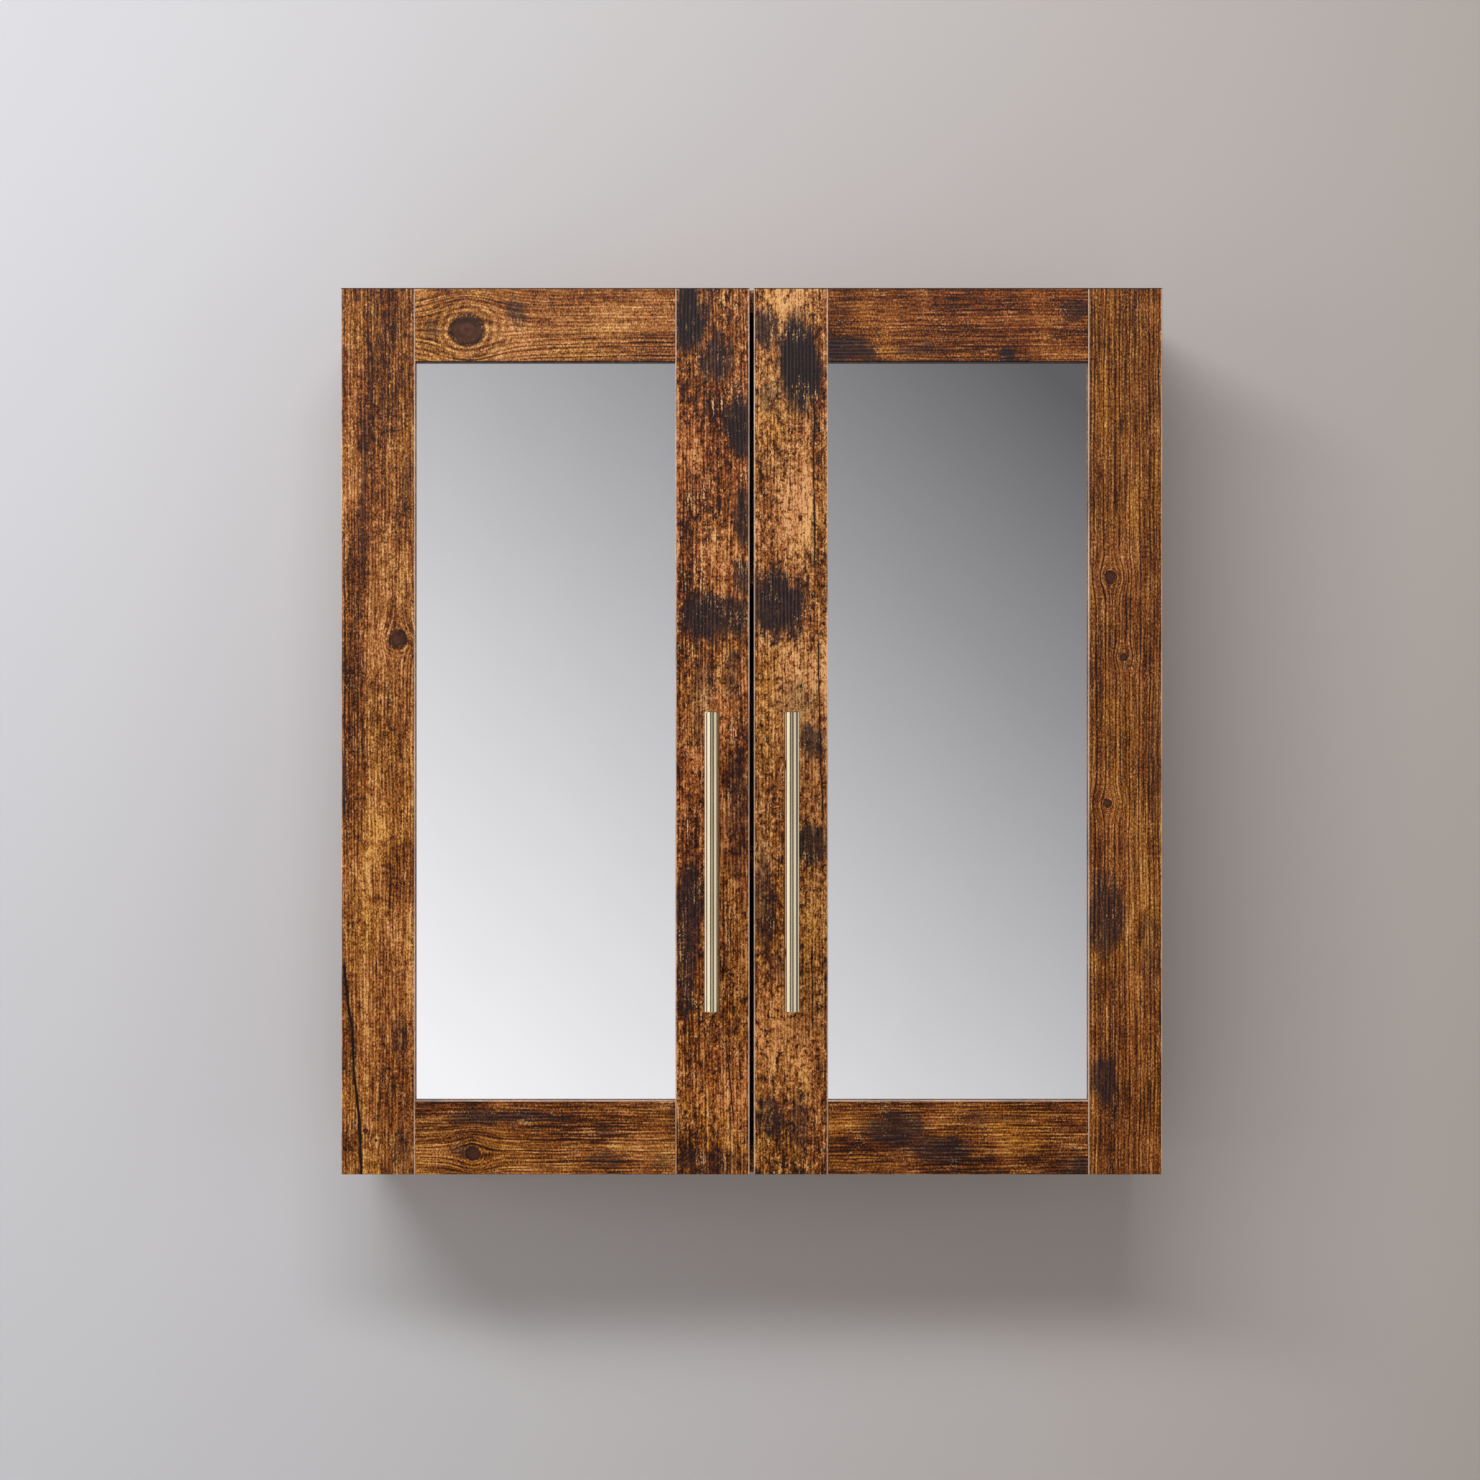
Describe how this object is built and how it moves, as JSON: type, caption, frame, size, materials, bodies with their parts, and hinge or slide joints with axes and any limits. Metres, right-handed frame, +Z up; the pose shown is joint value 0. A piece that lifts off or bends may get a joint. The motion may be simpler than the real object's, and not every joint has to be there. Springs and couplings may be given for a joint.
{
  "type": "mirror cabinet",
  "caption": "Wall-hung mirror cabinet with two framed mirror doors on concealed hinges, bar handles and adjustable shelves in a wood-finish board carcass",
  "frame": {"origin": "centre of the four wall-screw holes, on the wall plane, at mid width and mid height", "axes": "+Z up, doors face -Y, the wall is the plane Y = 0, +X to the right of someone facing the doors"},
  "size_m": [0.555, 0.182, 0.6],
  "materials": {
    "wood_face": "rustic brown wood decor, satin",
    "board": "brown wood decor laminate, satin",
    "back_board": "thin hardboard, brown",
    "dowel_wood": "plain beech",
    "mirror": "silvered clear mirror",
    "backing": "thin hardboard behind the mirror",
    "handle_metal": "brushed champagne brass",
    "hinge_metal": "nickel-plated steel",
    "screw_metal": "zinc-plated steel",
    "cam_metal": "cast zinc",
    "cap_plastic": "brown plastic",
    "bumper_rubber": "soft clear rubber"
  },
  "bodies": {
    "carcass": {"left_side_panel": "board", "right_side_panel": "board", "top_panel": "board", "bottom_panel": "board", "back_panel": "back_board", "upper_wall_rail": "board", "lower_wall_rail": "board", "upper_shelf": "board", "lower_shelf": "board", "shelf_pins": "screw_metal", "cam_locks": "cam_metal", "cam_bolts": "screw_metal", "cam_caps": "cap_plastic", "panel_dowels": "dowel_wood", "rail_dowels": "dowel_wood", "door_bumpers": "bumper_rubber", "left_hinge_plates": "hinge_metal", "right_hinge_plates": "hinge_metal", "left_hinge_arms": "hinge_metal", "right_hinge_arms": "hinge_metal", "hinge_plate_screws": "screw_metal", "hinge_arm_screws": "screw_metal", "hinge_arm_pins": "hinge_metal"},
    "left_links": {"left_hinge_links": "hinge_metal"},
    "left_door": {"left_outer_stile": "wood_face", "left_inner_stile": "wood_face", "left_top_rail": "wood_face", "left_bottom_rail": "wood_face", "left_mirror": "mirror", "left_mirror_backing": "backing", "left_handle_bar": "handle_metal", "left_handle_posts": "handle_metal", "left_handle_screws": "screw_metal", "left_hinge_cups": "hinge_metal", "left_cup_screws": "screw_metal", "left_cup_pins": "hinge_metal"},
    "right_links": {"right_hinge_links": "hinge_metal"},
    "right_door": {"right_outer_stile": "wood_face", "right_inner_stile": "wood_face", "right_top_rail": "wood_face", "right_bottom_rail": "wood_face", "right_mirror": "mirror", "right_mirror_backing": "backing", "right_handle_bar": "handle_metal", "right_handle_posts": "handle_metal", "right_handle_screws": "screw_metal", "right_hinge_cups": "hinge_metal", "right_cup_screws": "screw_metal", "right_cup_pins": "hinge_metal"}
  },
  "joints": [
    {"name": "left_link_swing", "type": "hinge", "parent": "carcass", "child": "left_links", "pos_m": [-0.2456, -0.1362, 0], "axis": [0, 0, -1], "range_deg": [-50, 0]},
    {"name": "left_door_swing", "type": "hinge", "parent": "left_links", "child": "left_door", "pos_m": [-0.2646, -0.137, 0], "axis": [0, 0, -1], "range_deg": [0, 150]},
    {"name": "right_link_swing", "type": "hinge", "parent": "carcass", "child": "right_links", "pos_m": [0.2456, -0.1362, 0], "axis": [0, 0, 1], "range_deg": [-50, 0]},
    {"name": "right_door_swing", "type": "hinge", "parent": "right_links", "child": "right_door", "pos_m": [0.2646, -0.137, 0], "axis": [0, 0, 1], "range_deg": [0, 150]}
  ],
  "couplings": [
    {"joint": "left_link_swing", "follows": "left_door_swing", "ratio": -0.33333},
    {"joint": "right_link_swing", "follows": "right_door_swing", "ratio": -0.33333}
  ]
}
